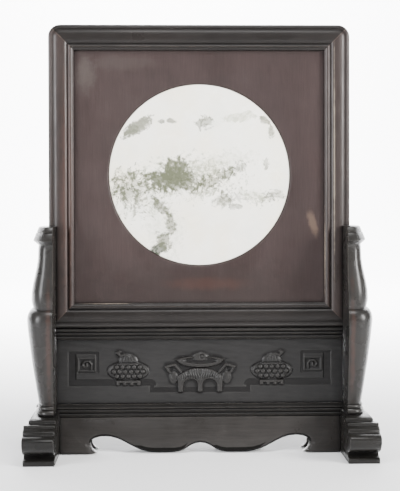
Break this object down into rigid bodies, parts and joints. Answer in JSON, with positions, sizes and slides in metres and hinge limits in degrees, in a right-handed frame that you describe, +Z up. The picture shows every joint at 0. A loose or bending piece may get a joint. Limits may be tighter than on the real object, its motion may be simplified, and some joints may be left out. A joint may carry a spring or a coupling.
{
  "type": "table screen",
  "caption": "Table screen: a mitred frame round a board with an inset marble roundel, standing in a carved wooden stand with vase-shaped posts and scroll feet.",
  "frame": {"origin": "on the ground, midway between the two feet", "axes": "+Z up; the marble face looks along -Y; +X runs to the viewer's right across the width"},
  "size_m": [0.3854, 0.177, 0.4814],
  "materials": {
    "frame_wood": "near-black hardwood, waxed satin, worn reddish brown on the inner beads",
    "board_wood": "purple-brown rosewood, fine vertical grain, satin, with reddish worn patches",
    "stand_wood": "near-black hardwood, waxed to a soft grey sheen on its arrises",
    "carved_wood": "near-black hardwood, carved in low relief, satin",
    "marble": "polished cream-white marble with grey-green natural figure"
  },
  "bodies": {
    "root": {"frame_top_rail": "frame_wood", "frame_bottom_rail": "frame_wood", "frame_left_stile": "frame_wood", "frame_right_stile": "frame_wood", "panel_board": "board_wood", "marble_roundel": "marble", "post_left": "stand_wood", "post_right": "stand_wood", "foot_left": "stand_wood", "foot_right": "stand_wood", "upper_crossbar": "stand_wood", "lower_crossbar": "stand_wood", "carved_panel": "carved_wood", "apron_front": "stand_wood", "apron_rear": "stand_wood"}
  },
  "joints": []
}
